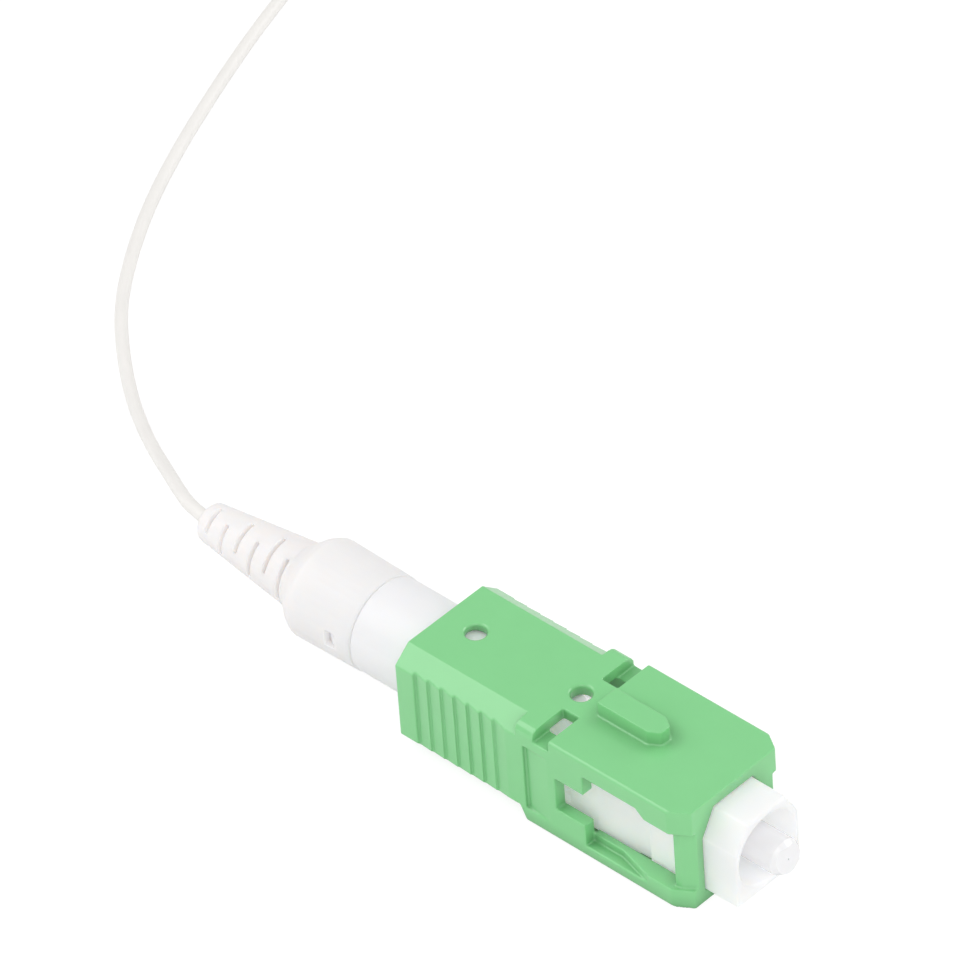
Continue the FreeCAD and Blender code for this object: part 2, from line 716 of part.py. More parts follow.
def make_ferrule_spring():
    body = new_body("ferrule_spring")
    front = "(" + FLANGE_REAR + " + spring_gap)"
    rear = "(" + SPIGOT_FRONT + " - spring_gap)"
    section = new_sketch(body, "spring_wire_section", "XZ_Plane")
    ring(section, "spring_wire / 2", minus(rear + " - spring_wire / 2"), "spring_mean_radius")
    coil = body.newObject("PartDesign::AdditiveHelix", "spring_coil")
    coil.Profile = section
    coil.ReferenceAxis = (section, ["H_Axis"])
    coil.Mode = "height-turns-angle"
    coil.setExpression(".Height", bound(rear + " - " + front + " - spring_wire"))
    coil.setExpression(".Turns", bound("spring_turns"))
    return body


def make_rear_body():
    """The moulding that closes the frame from behind and carries the boot."""
    body = new_body("rear_body")
    spigot = "(chamber_radius - spigot_clearance)"
    turned(body, "Revolution", "rear_body_half_section", [
        (minus(SPIGOT_FRONT), "spigot_bore_radius"),
        (minus(SPIGOT_FRONT), spigot),
        (minus(FRAME_REAR + " + tab_gap"), spigot),
        (minus(FRAME_REAR + " + tab_gap"), "cylinder_radius"),
        (minus(CYLINDER_REAR), "cylinder_radius"),
        (minus(CYLINDER_REAR), "sleeve_seat_radius"),
        (minus(SEAT_REAR), "sleeve_seat_radius"),
        (minus(SEAT_REAR), "nipple_radius"),
        (minus(NIPPLE_REAR), "nipple_radius"),
        (minus(NIPPLE_REAR), "guide_tube_radius"),
        (minus(SPIGOT_FRONT + " + spigot_bore_depth"), "guide_tube_radius"),
        (minus(SPIGOT_FRONT + " + spigot_bore_depth"), "spigot_bore_radius"),
    ])
    tabs = new_sketch(body, "snap_tabs", "XZ_Plane")
    top = FRAME_HALF_HEIGHT + " - tab_gap"
    tab = [
        (minus(TAB_WINDOW_FRONT), "spigot_bore_radius + edge_break"),
        (minus(TAB_WINDOW_FRONT), "chamber_radius"),
        (minus(TAB_WINDOW_FRONT + " + tab_length / 2"), top),
        (minus(TAB_WINDOW_FRONT + " + tab_length"), top),
        (minus(TAB_WINDOW_FRONT + " + tab_length"), "spigot_bore_radius + edge_break"),
    ]
    outline(tabs, tab)
    outline(tabs, mirrored(tab))
    pad(body, tabs, "tab_width", symmetric=True)

    # Low catches on both sides that hold the boot by its windows.
    catches = new_sketch(body, "boot_catches", "XY_Plane")
    start = "(" + CYLINDER_REAR + " + boot_window_back)"
    crest = "boot_collar_radius - edge_break"
    catch = [
        (minus(start + " + boot_window_length - tab_gap"), "sleeve_seat_radius - edge_break"),
        (minus(start + " + boot_catch_gap"), "sleeve_seat_radius - edge_break"),
        (minus(start + " + boot_catch_gap"), crest + " - edge_break"),
        (minus(start + " + boot_window_length - tab_gap"), "sleeve_seat_radius + edge_break / 2"),
    ]
    outline(catches, catch)
    outline(catches, mirrored(catch))
    pad(body, catches, "boot_window_height - 2 * tab_gap", symmetric=True)
    return body


def make_guide_tube():
    body = new_body("guide_tube")
    front = "(" + TAIL_REAR + " + plunge_travel + guide_tube_front_gap)"
    turned(body, "Revolution", "guide_tube_half_section", [
        (minus(front), "lead_radius + lead_bore_gap"),
        (minus(front), "guide_tube_radius"),
        (minus(NIPPLE_REAR), "guide_tube_radius"),
        (minus(NIPPLE_REAR), "lead_radius + lead_bore_gap"),
    ])
    return body


def make_crimp_ring():
    body = new_body("crimp_ring")
    turned(body, "Revolution", "crimp_ring_half_section", [
        (minus(SEAT_REAR + " + crimp_gap"), "nipple_radius"),
        (minus(SEAT_REAR + " + crimp_gap"), "nipple_radius + crimp_wall"),
        (minus(NIPPLE_REAR), "nipple_radius + crimp_wall"),
        (minus(NIPPLE_REAR), "nipple_radius"),
    ])
    return body


def make_inner_buffer():
    """The buffered fibre inside the connector, from the flange's tail to the boot's end."""
    body = new_body("inner_buffer")
    sketch = new_sketch(body, "buffer_section", "YZ_Plane", minus(HUB_REAR))
    ring(sketch, "lead_radius")
    pad(body, sketch, BOOT_REAR + " - " + HUB_REAR, backwards=True)
    return body


def slot_rectangles(angle, radius):
    """Two opposite slots in the boot's section, turned about the axis by an angle."""
    half = "(boot_slot_span * " + radius + ")"
    corners = box_points(minus(half), half, "boot_slot_floor", radius + " + 1")
    rectangles = []
    for turn in (angle - 90, angle + 90):
        across, up = "cos(%d deg)" % turn, "sin(%d deg)" % turn
        rectangles.append([
            ("(%s) * %s - (%s) * %s" % (u, across, v, up), "(%s) * %s + (%s) * %s" % (u, up, v, across))
            for u, v in corners
        ])
    return rectangles


def make_boot():
    """A soft boot: a collar that snaps over the rear body and a slotted, tapered neck."""
    body = new_body("boot")
    seat = "sleeve_seat_radius + boot_fit"
    bore = "lead_radius + lead_bore_gap"
    cavity = "nipple_radius + crimp_wall + boot_fit"
    turned(body, "Revolution", "boot_half_section", [
        (minus(CYLINDER_REAR + " + boot_fit"), seat),
        (minus(CYLINDER_REAR + " + boot_fit"), "boot_mouth_radius"),
        (minus(COLLAR_REAR + " - boot_corner"), "boot_collar_radius"),
        (minus(COLLAR_REAR), "boot_collar_radius - boot_corner / 2"),
        (minus(NECK_FRONT), "boot_neck_radius"),
        (minus(BOOT_REAR + " - boot_end_round"), "boot_end_radius"),
        (minus(BOOT_REAR), "boot_end_radius - boot_end_round"),
        (minus(BOOT_REAR), bore),
        (minus(NIPPLE_REAR + " + boot_fit"), bore),
        (minus(NIPPLE_REAR + " + boot_fit"), cavity),
        (minus(SEAT_REAR + " + boot_fit"), cavity),
        (minus(SEAT_REAR + " + boot_fit"), seat),
    ])
    windows = new_sketch(body, "boot_windows", "XZ_Plane")
    start = "(" + CYLINDER_REAR + " + boot_window_back)"
    half = "boot_window_height / 2"
    outline(windows, box_points(minus(start + " + boot_window_length"), minus(start), minus(half), half))
    pocket(body, windows, "4 * boot_collar_radius", symmetric=True)

    taper = "((boot_neck_radius - boot_end_radius) / boot_neck_length)"
    for row, angle in enumerate(SLOT_ROW_ANGLES):
        for index in range(SLOTS_A_ROW):
            along = "(boot_slot_start + %d * boot_slot_stagger + %d * boot_slot_pitch)" % (row, index)
            place = COLLAR_REAR + " + " + along
            radius = "(boot_neck_radius - (" + along + " - boot_shoulder_length) * " + taper + ")"
            cut = new_sketch(body, "boot_slot_%d_%d" % (row, index), "YZ_Plane", minus(place))
            for rectangle in slot_rectangles(angle, radius):
                outline(cut, rectangle)
            pocket(body, cut, "boot_slot_width", symmetric=True)
    return body


def lead_path():
    """Straight runs along the route joined by tangent arcs, and the arcs' radii."""
    points = [FreeCAD.Vector(*point) for point in LEAD_ROUTE]
    edges, radii = [], []
    start = points[0]
    for before, corner, after in zip(points, points[1:], points[2:]):
        inward, outward = corner - before, after - corner
        turn = inward.getAngle(outward)
        tangent = 0.45 * min(inward.Length, outward.Length)
        radii.append(tangent / math.tan(turn / 2))
        inward.normalize()
        outward.normalize()
        arc_start, arc_end = corner - inward * tangent, corner + outward * tangent
        bulge = (outward - inward).normalize() * (radii[-1] / math.cos(turn / 2) - radii[-1])
        edges.append(Part.LineSegment(start, arc_start).toShape())
        edges.append(Part.Arc(arc_start, corner + bulge, arc_end).toShape())
        start = arc_end
    edges.append(Part.LineSegment(start, points[-1]).toShape())
    return Part.Wire(edges), radii


def make_lead():
    radius = number("lead_radius")
    path, radii = lead_path()
    first = path.Edges[0]
    ring_edge = Part.makeCircle(radius, first.firstVertex().Point, first.tangentAt(first.FirstParameter))
    tube = path.makePipeShell([Part.Wire([ring_edge])], True, True)
    lead = doc.addObject("Part::Feature", "lead")
    lead.Label = "lead"
    lead.Shape = tube
    lead.Placement = FreeCAD.Placement()
    expected = math.pi * radius ** 2 * path.Length
    print("lead arcs, mm:", " ".join("%.1f" % value for value in radii))
    print("lead length %.1f mm, volume %.2f of %.2f mm3" % (path.Length, tube.Volume, expected))
    return lead


def make_lead_coil():
    """The outer shape of the coiled rest of the lead, lying on the same surface."""
    body = doc.addObject("PartDesign::Body", "lead_coil")
    body.Label = "lead_coil"
    body.Placement = FreeCAD.Placement(FreeCAD.Vector(*COIL_CENTRE, 0), FreeCAD.Rotation())
    sketch = new_sketch(body, "coil_half_section", "XZ_Plane")
    low, high = "coil_round", "coil_height - coil_round"
    inner, outer = "coil_inner_radius", "coil_outer_radius"
    outline(sketch, [
        (inner + " + coil_round", "0"), (outer + " - coil_round", "0"), (outer, low), (outer, high),
        (outer + " - coil_round", "coil_height"), (inner + " + coil_round", "coil_height"),
        (inner, high), (inner, low),
    ])
    coil = body.newObject("PartDesign::Revolution", "coil_revolution")
    coil.Profile = sketch
    coil.ReferenceAxis = (sketch, ["V_Axis"])
    coil.Angle = 360
    return body


PIECES = [
    make_outer_housing(),
    make_plug_frame(),
    make_ferrule(),
    make_ferrule_flange(),
    make_bare_fibre(),
    make_ferrule_spring(),
    make_rear_body(),
    make_guide_tube(),
    make_crimp_ring(),
    make_inner_buffer(),
    make_boot(),
    make_lead(),
    make_lead_coil(),
]
doc.recompute()

for item in doc.Objects:
    if "Invalid" in item.State or "Error" in item.State:
        raise RuntimeError("%s failed: %s" % (item.Label, item.State))
for piece in PIECES:
    if piece.Shape.isNull() or not piece.Shape.isValid():
        raise RuntimeError("%s has no valid shape" % piece.Label)

os.makedirs("parts", exist_ok=True)
for piece in PIECES:
    piece.Shape.exportStep("parts/%s.step" % piece.Label)
    box = piece.Shape.BoundBox
    print("%-16s solids %d  volume %9.3f  x %.2f..%.2f  y %.2f..%.2f  z %.2f..%.2f" % (
        piece.Label, len(piece.Shape.Solids), piece.Shape.Volume,
        box.XMin, box.XMax, box.YMin, box.YMax, box.ZMin, box.ZMax))
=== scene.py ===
"""SC fibre connector on its lead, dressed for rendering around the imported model.

Lengths are metres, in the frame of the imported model: +X points out of the ferrule, +Z to the
key on the grip, and the connector rests on z = 0.
"""

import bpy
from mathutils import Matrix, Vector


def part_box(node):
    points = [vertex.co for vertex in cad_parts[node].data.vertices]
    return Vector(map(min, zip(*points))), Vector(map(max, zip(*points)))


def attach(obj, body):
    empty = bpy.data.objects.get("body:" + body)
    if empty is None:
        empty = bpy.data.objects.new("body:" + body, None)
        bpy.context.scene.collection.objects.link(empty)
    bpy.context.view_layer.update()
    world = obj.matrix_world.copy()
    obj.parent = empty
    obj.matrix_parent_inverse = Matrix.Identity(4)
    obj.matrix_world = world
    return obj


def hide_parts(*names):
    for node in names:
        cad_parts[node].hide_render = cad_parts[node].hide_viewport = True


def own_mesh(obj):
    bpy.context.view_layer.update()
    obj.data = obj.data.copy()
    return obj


bl_info = {
    "name": "SC fibre connector",
    "version": (1, 0, 0),
    "blender": (4, 5, 0),
    "location": "View3D > Sidebar > Connector",
    "description": "Dresses the packed connector with its finishes, boot, lead and studio",
    "category": "Object",
}

import bmesh
import bpy
import math
from bpy.props import FloatProperty, FloatVectorProperty, IntProperty, PointerProperty
from mathutils import Matrix, Vector

MM = 0.001
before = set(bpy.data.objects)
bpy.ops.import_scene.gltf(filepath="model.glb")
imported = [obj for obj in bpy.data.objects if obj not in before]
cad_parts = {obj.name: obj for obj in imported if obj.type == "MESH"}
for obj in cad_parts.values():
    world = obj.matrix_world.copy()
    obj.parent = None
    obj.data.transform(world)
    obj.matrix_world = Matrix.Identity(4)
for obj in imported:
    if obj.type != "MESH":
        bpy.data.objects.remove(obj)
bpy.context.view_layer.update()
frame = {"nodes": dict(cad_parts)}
COIL_LOW, COIL_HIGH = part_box("lead_coil")
COIL_CENTRE = (COIL_LOW + COIL_HIGH) / 2

# The lead's route from the boot to the coil, in millimetres, as the part's source has it.
LEAD_ROUTE = [
    (-24.45, 0.0, 3.9),
    (-26.15, 0.2, 3.85),
    (-28.35, 1.25, 3.4),
    (-30.95, 2.75, 2.55),
    (-34.0, 4.5, 1.52),
    (-37.1, 6.4, 0.75),
    (-40.15, 8.45, 0.45),
    (-43.45, 11.1, 0.45),
    (-46.7, 14.2, 0.45),
    (-49.55, 18.0, 0.45),
    (-52.35, 22.5, 0.45),
    (-54.9, 27.7, 0.45),
    (-57.3, 33.5, 0.45),
    (-59.55, 39.5, 0.45),
    (-61.45, 45.5, 0.45),
    (-62.95, 50.8, 0.45),
    (-64.1, 55.4, 0.45),
]
# The share of a turn in which the coil climbs from one layer to the next.
LAYER_CLIMB = 0.25

# The tie stands at this angle on the coil. The turns rise over its lower strand, by its thickness
# and a little more, within the spread to each side.
TIE_ANGLE = math.radians(135)
TIE_LIFT_SPREAD = math.radians(50)
TIE_LIFT = 1.15
TIE_CLEARANCE = 0.04 * MM
TIE_CORNER = 0.5 * MM

# A softened copy's corners within MERGE_DISTANCE millimetres become one. Of its fresh mesh, this
# share of the triangles is kept.
MERGE_DISTANCE = 0.002
GRIP_SHARE = 0.13
SOFT_SHARE = 0.2

# What the plastics have in common: how far the slow changes of tone lie apart, how much the sheen
# changes, how far a wall is felt for the painted glow in a hollow, and how far a groove is felt
# for the painted shade in a groove.
PLASTIC_IOR = 1.58
CLOUD_SCALE = 450.0
SHEEN_CHANGE = 0.008
METAL_SHEEN_CHANGE = 0.08
GRAIN_STRENGTH = 0.2
HOLLOW_REACH = 3 * MM
GROOVE_REACH = 1.2 * MM

# The floor's half width, how far it lies under the connector, what it gives back to the connector,
# and the share of shadow and of light that the camera sees on it.
FLOOR_SIZE = 2.0
FLOOR_DROP = 0.02 * MM
FLOOR_BOUNCE = 0.86
FLOOR_SHADE = 0.22
FLOOR_GLOW = 0.86

LAMP_DISTANCE = 0.5
# Each softbox with the direction that it stands in, its width in metres and its brightness.
LAMPS = [
    ("left_softbox", (-0.62, -0.38, 0.68), 0.4, 2.1),
    ("right_softbox", (0.3, 0.78, 0.53), 0.3, 2.8),
    ("front_softbox", (0.97, -0.05, 0.2), 0.4, 1.1),
    ("near_softbox", (0.1, -0.95, 0.3), 0.5, 0.4),
    ("upper_softbox", (0.5, -0.5, 0.71), 0.3, 1.8),
]


def colour(name, description, red, green, blue):
    return FloatVectorProperty(
        name=name, description=description, subtype="COLOR", size=3, min=0, max=1,
        default=(red, green, blue))


def length(name, description, default):
    return FloatProperty(
        name=name, description=description, default=default, min=0, precision=5, unit="LENGTH")


class FinishSettings(bpy.types.PropertyGroup):
    """Colours of the plastics and the ferrule."""
    grip: colour("Grip", "Green plastic of the push-pull grip", 0.235, 0.665, 0.275)
    frame: colour("Plug frame", "White plastic of the plug frame", 0.96, 0.957, 0.967)
    body: colour("Rear body", "White plastic of the rear body", 0.9, 0.895, 0.912)
    boot: colour("Boot", "Ivory elastomer of the boot", 0.9, 0.872, 0.865)
    lead: colour("Lead", "Buffer jacket of the lead", 0.905, 0.885, 0.855)
    tie: colour("Tie", "Strip that holds the coil", 0.8, 0.8, 0.8)
    ceramic: colour("Ferrule", "Zirconia of the ferrule", 0.93, 0.927, 0.94)


class LeadSettings(bpy.types.PropertyGroup):
    """Sizes of the lead and its coil."""
    diameter: length("Diameter", "Outer diameter of the buffered lead", 0.9 * MM)
    length: length("Length", "Length of the lead from the boot to its bare end", 1.0)
    layers: IntProperty(name="Layers", description="Layers of turns in the coil", default=4, min=1)
    layer_turns: FloatProperty(
        name="Turns a layer", description="Turns in each layer of the coil", default=4.85, min=1)
    turn_points: IntProperty(
        name="Points a turn", description="Control points in one turn of the coil", default=20, min=12)
    tie_width: length("Tie width", "Width of the tie round the coil", 1.6 * MM)
    tie_thickness: length("Tie thickness", "Thickness of the tie", 0.3 * MM)


class EdgeSettings(bpy.types.PropertyGroup):
    """How the mouldings' edges are rounded: the size of a fresh mesh, and passes over it."""
    grip: length("Grip mesh", "Size of the grip's fresh mesh", 0.065 * MM)
    frame: length("Frame mesh", "Size of the plug frame's and rear body's fresh mesh", 0.07 * MM)
    boot: length("Boot mesh", "Size of the boot's fresh mesh", 0.06 * MM)
    grip_passes: IntProperty(
        name="Grip passes", description="Smoothing passes over the grip", default=2, min=0)
    soft_passes: IntProperty(
        name="Soft passes", description="Smoothing passes over the other mouldings", default=4,
        min=0)


class StudioSettings(bpy.types.PropertyGroup):
    """Camera and light."""
    azimuth: FloatProperty(
        name="Azimuth", description="Turn of the camera about the vertical", subtype="ANGLE",
        default=math.radians(45.922))
    elevation: FloatProperty(
        name="Elevation", description="Height of the camera above the horizon", subtype="ANGLE",
        default=math.radians(40.769))
    roll: FloatProperty(
        name="Roll", description="Turn of the camera about its own line of sight", subtype="ANGLE",
        default=math.radians(4.286))
    distance: length("Distance", "From the camera to the point that it looks at", 0.62841)
    target: FloatVectorProperty(
        name="Target", description="Point that the camera looks at", subtype="TRANSLATION", size=3,
        default=(-13.796 * MM, 13.560 * MM, 4.0 * MM))
    lens: FloatProperty(name="Lens", description="Focal length in millimetres", default=374.92)
    surround: FloatProperty(
        name="Surround", description="Strength of the even light from all round", default=0.5)
    lamps: FloatProperty(
        name="Lamps", description="Strength of all the lamps together", default=0.89)


def shown_object(name, mesh):
    piece = bpy.data.objects.new(name, mesh)
    bpy.context.scene.collection.objects.link(piece)
    return piece


def new_material(name):
    """A material with a principled shader, and a function that adds nodes to it."""
    material = bpy.data.materials.new(name)
    material.use_nodes = True
    tree = material.node_tree
    shader = tree.nodes["Principled BSDF"]

    def add(kind, links=(), **values):
        node = tree.nodes.new(kind)
        for key, value in values.items():
            if hasattr(node, key):
                setattr(node, key, value)
            else:
                node.inputs[key.replace("_", " ")].default_value = value
        for source, socket in links:
            tree.links.new(source, node.inputs[socket])
        return node

    def join(source, target):
        tree.links.new(source, target)
    return material, shader, add, join


def ranged(add, value, low, high):
    """A value from 0 to 1, brought to the range from low to high."""
    return add(
        "ShaderNodeMapRange", [(value, "Value")], To_Min=low, To_Max=high).outputs["Result"]


def enclosed(add, reach, hollow, in_the_open):
    """One value deep in a hollow and another in the open, by the walls within reach."""
    around = add("ShaderNodeAmbientOcclusion", samples=8, Distance=reach)
    return ranged(add, around.outputs["AO"], hollow, in_the_open)


def moulded(
        name, tint, roughness, grain_size, grain_depth, variation=0.03, scatter=0.0,
        scatter_depth=0.3 * MM, milky=0.0, painted_groove_shade=0.0):
    """Moulded plastic: a fine grain, slow changes of tone and of sheen, and some depth.

    Scatter is the share of light that goes through the skin, milky the strength of a painted glow
    deep in a hollow, and the groove shade the share of the tint's brightness that is taken away as
    painted shade deep in a groove.
    """
    material, shader, add, join = new_material(name)
    place = add("ShaderNodeTexCoord").outputs["Object"]
    cloud = add(
        "ShaderNodeTexNoise", [(place, "Vector")], Scale=CLOUD_SCALE, Detail=3.0, Roughness=0.55)
    lighter = [min(1.0, channel * (1 + variation)) for channel in tint] + [1.0]
    darker = [channel * (1 - variation) for channel in tint] + [1.0]
    tone = add("ShaderNodeMix", [(cloud.outputs["Fac"], "Factor")], data_type="RGBA")
    tone.inputs["A"].default_value = darker
    tone.inputs["B"].default_value = lighter
    if painted_groove_shade:
        # Painted shade: the tint is darkened in grooves by how enclosed they are, on top of the lamps'
        # shade.
        depth = enclosed(add, GROOVE_REACH, 1 - painted_groove_shade, 1.0)
        shaded_tone = add(
            "ShaderNodeHueSaturation", [(tone.outputs["Result"], "Color"), (depth, "Value")])
        join(shaded_tone.outputs["Color"], shader.inputs["Base Color"])
    else:
        join(tone.outputs["Result"], shader.inputs["Base Color"])
    sheen = ranged(
        add, cloud.outputs["Fac"], roughness - SHEEN_CHANGE, roughness + SHEEN_CHANGE)
    join(sheen, shader.inputs["Roughness"])
    grain = add("ShaderNodeTexNoise", [(place, "Vector")], Scale=1 / grain_size, Detail=2.0)
    bump = add(
        "ShaderNodeBump", [(grain.outputs["Fac"], "Height")], Strength=GRAIN_STRENGTH,
        Distance=grain_depth)
    join(bump.outputs["Normal"], shader.inputs["Normal"])
    shader.inputs["IOR"].default_value = PLASTIC_IOR
    shader.inputs["Subsurface Weight"].default_value = scatter
    shader.inputs["Subsurface Radius"].default_value = (1.0, 0.9, 0.8)
    shader.inputs["Subsurface Scale"].default_value = scatter_depth
    if milky:
        # Painted light: the tint glows in the hollows by how enclosed they are, for light through the
        # milky wall.
        shader.inputs["Emission Color"].default_value = (*tint, 1)
        join(enclosed(add, HOLLOW_REACH, milky, 0.0), shader.inputs["Emission Strength"])
    return material


def metal(name, tint, roughness, line_size):
    """Bare metal with a fine unevenness of tone and sheen."""
    material, shader, add, join = new_material(name)
    place = add("ShaderNodeTexCoord").outputs["Object"]
    lines = add("ShaderNodeTexNoise", [(place, "Vector")], Scale=1 / line_size, Detail=3.0)
    sheen = ranged(
        add, lines.outputs["Fac"], roughness - METAL_SHEEN_CHANGE, roughness + METAL_SHEEN_CHANGE)
    join(sheen, shader.inputs["Roughness"])
    bump = add(
        "ShaderNodeBump", [(lines.outputs["Fac"], "Height")], Strength=GRAIN_STRENGTH,
        Distance=0.002 * MM)
    join(bump.outputs["Normal"], shader.inputs["Normal"])
    tone = add("ShaderNodeMix", [(lines.outputs["Fac"], "Factor")], data_type="RGBA")
    tone.inputs["A"].default_value = [channel * 0.9 for channel in tint] + [1.0]
    tone.inputs["B"].default_value = list(tint) + [1.0]
    join(tone.outputs["Result"], shader.inputs["Base Color"])
    shader.inputs["Metallic"].default_value = 1.0
    return material


def paint(piece, material):
    piece.data.materials.clear()
    piece.data.materials.append(material)


def softened_copy(node, name, mesh_size, passes, share):
    """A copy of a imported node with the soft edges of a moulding, to stand for it.

    It gets a fresh even mesh, smoothing passes over it, and then only a share of its triangles.
    The copy is worked in millimetres, in which a remesh may be finer than in metres.
    """
    bm = bmesh.new()
    bm.from_mesh(frame["nodes"][node].data)
    bmesh.ops.scale(bm, vec=(1 / MM, 1 / MM, 1 / MM), verts=bm.verts)
    bmesh.ops.remove_doubles(bm, verts=bm.verts, dist=MERGE_DISTANCE)
    rough = bpy.data.meshes.new(name + "_rough")
    bm.to_mesh(rough)
    bm.free()
    worked = shown_object(name + "_rough", rough)
    remesh = worked.modifiers.new("remesh", "REMESH")
    remesh.mode = "VOXEL"
    remesh.voxel_size = round(mesh_size / MM, 4)
    smooth = worked.modifiers.new("smooth", "SMOOTH")
    smooth.factor = 0.5
    smooth.iterations = passes
    fewer = worked.modifiers.new("fewer", "DECIMATE")
    fewer.ratio = share
    bpy.context.view_layer.update()
    graph = bpy.context.evaluated_depsgraph_get()
    mesh = bpy.data.meshes.new_from_object(worked.evaluated_get(graph))
    bpy.data.objects.remove(worked)
    bpy.data.meshes.remove(rough)
    bm = bmesh.new()
    bm.from_mesh(mesh)
    bmesh.ops.scale(bm, vec=(MM, MM, MM), verts=bm.verts)
    bm.to_mesh(mesh)
    bm.free()
    mesh.name = name
    for face in mesh.polygons:
        face.use_smooth = True
    piece = shown_object(name, mesh)
    weighted = piece.modifiers.new("weighted normals", "WEIGHTED_NORMAL")
    weighted.mode = "FACE_AREA"
    return piece


class CONNECTOR_OT_lead(bpy.types.Operator):
    """Lays the buffered lead along its route and winds the rest of it into a coil"""
    bl_idname = "connector.lead"
    bl_label = "Lead"

    def execute(self, context):
        sizes = context.scene.connector_lead
        finish = context.scene.connector_finish
        radius = sizes.diameter / 2
        points = [Vector(point) * MM for point in LEAD_ROUTE]
        arrival = points[-1]
        points += self.coil_points(sizes, arrival)

        curve = bpy.data.curves.new("buffered_lead", "CURVE")
        curve.dimensions = "3D"
        spline = curve.splines.new("NURBS")
        spline.points.add(len(points) - 1)
        for place, point in zip(spline.points, points):
            place.co = (*point, 1.0)
        spline.order_u = 3
        spline.use_endpoint_u = True
        spline.resolution_u = 6
        curve.bevel_depth = radius
        curve.bevel_resolution = 5
        curve.use_fill_caps = True
        lead = shown_object("buffered_lead", curve)
        paint(lead, moulded(
            "lead jacket", finish.lead, roughness=0.42, grain_size=0.25 * MM,
            grain_depth=0.004 * MM))
        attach(lead, "connector_core")
        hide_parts("lead", "lead_coil")
        tie = self.make_tie(sizes, finish, arrival)
        return {"FINISHED"}

    def make_tie(self, sizes, finish, arrival):
        """A band round the turns, on the side of the coil that is away from the connector."""
        spoke = arrival - COIL_CENTRE
        outer = math.hypot(spoke.x, spoke.y) + sizes.diameter / 2
        inner = outer - (sizes.layer_turns + 1) * sizes.diameter
        wall = sizes.tie_thickness + TIE_CLEARANCE
        high = sizes.layers * sizes.diameter + sizes.tie_thickness + wall
        bm = bmesh.new()
        bmesh.ops.create_cube(bm, size=1)
        ends = [face for face in bm.faces if abs(face.normal.y) > 0.5]
        bmesh.ops.delete(bm, geom=ends, context="FACES_ONLY")
        bmesh.ops.scale(bm, vec=(outer - inner + 2 * wall, sizes.tie_width, high), verts=bm.verts)
        corners = [
            edge for edge in bm.edges
            if abs((edge.verts[0].co - edge.verts[1].co).y) > sizes.tie_width / 2]
        bmesh.ops.bevel(
            bm, geom=corners, offset=TIE_CORNER, segments=6, profile=0.5, affect="EDGES",
            material=-1)
        bmesh.ops.translate(bm, vec=((outer + inner) / 2, 0, high / 2), verts=bm.verts)
        bmesh.ops.rotate(
            bm, cent=(0, 0, 0), matrix=Matrix.Rotation(TIE_ANGLE, 3, "Z"), verts=bm.verts)
        bmesh.ops.translate(bm, vec=(COIL_CENTRE.x, COIL_CENTRE.y, 0), verts=bm.verts)
        bmesh.ops.recalc_face_normals(bm, faces=bm.faces)
        mesh = bpy.data.meshes.new("coil_tie")
        bm.to_mesh(mesh)
        bm.free()
        tie = shown_object("coil_tie", mesh)
        thick = tie.modifiers.new("thickness", "SOLIDIFY")
        thick.thickness = sizes.tie_thickness
        thick.offset = -1
        paint(tie, moulded(
            "tie strip", finish.tie, roughness=0.5, grain_size=0.2 * MM, grain_depth=0.004 * MM))
        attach(tie, "connector_core")
        return tie

    def coil_points(self, sizes, arrival):
        """Turns that go in and out in layers, from the point where the route arrives."""
        spoke = arrival - COIL_CENTRE
        spoke.z = 0
        outer = spoke.length
        start = math.atan2(spoke.y, spoke.x)
        inner = outer - sizes.layer_turns * sizes.diameter
        # A spline of this kind runs inside its points by this much.
        outside = 1 / math.cos(math.pi / sizes.turn_points)
        points = []
        steps = int(sizes.layers * sizes.layer_turns * sizes.turn_points)
        for step in range(1, steps + 1):
            turn = step / sizes.turn_points
            layer, within = divmod(turn, sizes.layer_turns)
            inward = layer % 2 == 0
            share = within / sizes.layer_turns
            place = outer + (inner - outer) * (share if inward else 1 - share)
            rise = max(0.0, (within - sizes.layer_turns + LAYER_CLIMB) / LAYER_CLIMB)
            height = sizes.diameter * (0.5 + min(layer + rise, sizes.layers - 1))
            angle = start + turn * math.tau
            aside = abs(math.remainder(angle - TIE_ANGLE, math.tau))
            if aside < TIE_LIFT_SPREAD:
                height += TIE_LIFT * sizes.tie_thickness * math.cos(
                    math.pi / 2 * aside / TIE_LIFT_SPREAD) ** 2
            points.append(Vector((
                COIL_CENTRE.x + place * outside * math.cos(angle),
                COIL_CENTRE.y + place * outside * math.sin(angle),
                height)))
        return points


class CONNECTOR_OT_housing(bpy.types.Operator):
    """Rounds the grip's edges and gives it its green plastic"""
    bl_idname = "connector.housing"
    bl_label = "Grip"

    def execute(self, context):
        finish = context.scene.connector_finish
        edges = context.scene.connector_edges
        grip = softened_copy(
            "outer_housing", "grip_shell", edges.grip, edges.grip_passes, GRIP_SHARE)
        # The green gets painted shade in its grooves.
        green = moulded(
            "green plastic", finish.grip, roughness=0.28, grain_size=0.12 * MM,
            grain_depth=0.001 * MM, scatter=0.12, painted_groove_shade=0.55)
        polish = green.node_tree.nodes["Principled BSDF"].inputs
        polish["Coat Weight"].default_value = 0.4
        polish["Coat Roughness"].default_value = 0.15
        paint(grip, green)
        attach(grip, "grip")
        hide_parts("outer_housing")
        return {"FINISHED"}


